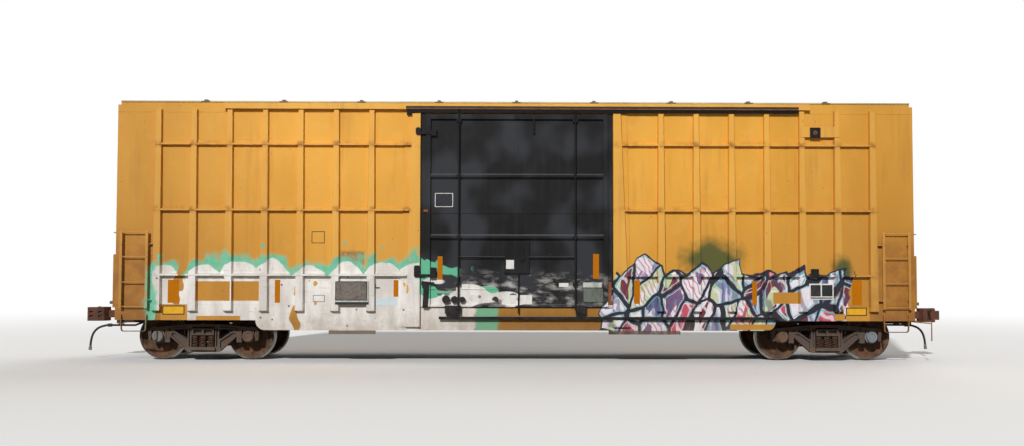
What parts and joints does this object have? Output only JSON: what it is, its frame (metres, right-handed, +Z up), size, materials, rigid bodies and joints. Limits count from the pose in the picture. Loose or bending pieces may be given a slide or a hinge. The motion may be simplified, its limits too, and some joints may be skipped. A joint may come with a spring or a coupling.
{
  "type": "railroad boxcar",
  "caption": "Long steel boxcar with a wide sliding plug door, tapered outside posts with horizontal stiffeners, ribbed roof, corrugated ends and swivelling trucks.",
  "frame": {"origin": "under the middle of the car, level with the wheel flange tips, 25.4 mm below the rail top", "axes": "+X along the car, +Y across it towards the far side, +Z up"},
  "size_m": [17.5896, 3.248, 5.1854],
  "materials": {
    "body_paint": "satin yellow-orange paint, weathered",
    "roof_paint": "dusty yellow-orange paint",
    "door_black": "satin black paint",
    "gear_black": "satin black paint",
    "under_paint": "dark dusty paint",
    "platform_steel": "dull galvanised steel",
    "board_paint": "dull grey-tan paint",
    "truck_cast": "dusty cast steel",
    "spring_steel": "dusty spring steel",
    "wheel_steel": "rusty steel with a bright tread",
    "axle_steel": "dusty steel",
    "coupler_cast": "rusty cast steel",
    "hose_rubber": "matte black",
    "gladhand_cast": "dull cast iron"
  },
  "bodies": {
    "carbody": {"air_hose_a": "hose_rubber", "air_hose_b": "hose_rubber", "air_reservoir": "under_paint", "body_bolsters": "under_paint", "brake_cylinder": "under_paint", "centre_sill": "under_paint", "crossbearers": "under_paint", "crossover_platforms": "platform_steel", "door_far": "door_black", "door_frames": "body_paint", "door_gear_far": "gear_black", "door_gear_near": "gear_black", "door_near": "door_black", "door_tracks": "gear_black", "end_ladders": "body_paint", "end_wall_a": "body_paint", "end_wall_b": "body_paint", "floor": "under_paint", "floor_stringers": "under_paint", "gladhand_a": "gladhand_cast", "gladhand_b": "gladhand_cast", "hand_brake": "body_paint", "placard_boards": "board_paint", "roof": "roof_paint", "side_ladders": "body_paint", "side_posts": "body_paint", "side_sills": "body_paint", "side_walls": "body_paint", "sill_steps": "body_paint", "top_chords": "body_paint", "train_pipe": "under_paint", "uncoupling_levers": "body_paint"},
    "truck_a": {"brake_beams_a": "truck_cast", "side_frames_a": "truck_cast", "springs_a": "spring_steel", "truck_bolster_a": "truck_cast"},
    "truck_b": {"brake_beams_b": "truck_cast", "side_frames_b": "truck_cast", "springs_b": "spring_steel", "truck_bolster_b": "truck_cast"},
    "coupler_a": {"coupler_a": "coupler_cast"},
    "coupler_b": {"coupler_b": "coupler_cast"},
    "knuckle_a": {"knuckle_a": "coupler_cast"},
    "knuckle_b": {"knuckle_b": "coupler_cast"},
    "wheelset_1": {"axle_1": "axle_steel", "wheels_1": "wheel_steel"},
    "wheelset_2": {"axle_2": "axle_steel", "wheels_2": "wheel_steel"},
    "wheelset_3": {"axle_3": "axle_steel", "wheels_3": "wheel_steel"},
    "wheelset_4": {"axle_4": "axle_steel", "wheels_4": "wheel_steel"}
  },
  "joints": [
    {"name": "truck_a_swivel", "type": "hinge", "parent": "carbody", "child": "truck_a", "pos_m": [-6.172, 0, 0.6804], "axis": [0, 0, 1], "range_deg": [-8, 8]},
    {"name": "truck_b_swivel", "type": "hinge", "parent": "carbody", "child": "truck_b", "pos_m": [6.172, 0, 0.6804], "axis": [0, 0, 1], "range_deg": [-8, 8]},
    {"name": "wheelset_1_spin", "type": "hinge", "parent": "truck_a", "child": "wheelset_1", "pos_m": [-7.061, 0, 0.4826], "axis": [0, 1, 0], "continuous": true},
    {"name": "wheelset_2_spin", "type": "hinge", "parent": "truck_a", "child": "wheelset_2", "pos_m": [-5.283, 0, 0.4826], "axis": [0, 1, 0], "continuous": true},
    {"name": "wheelset_3_spin", "type": "hinge", "parent": "truck_b", "child": "wheelset_3", "pos_m": [5.283, 0, 0.4826], "axis": [0, 1, 0], "continuous": true},
    {"name": "wheelset_4_spin", "type": "hinge", "parent": "truck_b", "child": "wheelset_4", "pos_m": [7.061, 0, 0.4826], "axis": [0, 1, 0], "continuous": true},
    {"name": "coupler_a_swing", "type": "hinge", "parent": "carbody", "child": "coupler_a", "pos_m": [-7.65, 0, 0.8854], "axis": [0, 0, 1], "range_deg": [-7, 7]},
    {"name": "knuckle_a_open", "type": "hinge", "parent": "coupler_a", "child": "knuckle_a", "pos_m": [-8.645, 0.13, 0.8854], "axis": [0, 0, -1], "range_deg": [0, 40]},
    {"name": "coupler_b_swing", "type": "hinge", "parent": "carbody", "child": "coupler_b", "pos_m": [7.65, 0, 0.8854], "axis": [0, 0, 1], "range_deg": [-7, 7]},
    {"name": "knuckle_b_open", "type": "hinge", "parent": "coupler_b", "child": "knuckle_b", "pos_m": [8.645, -0.13, 0.8854], "axis": [0, 0, -1], "range_deg": [0, 40]}
  ]
}
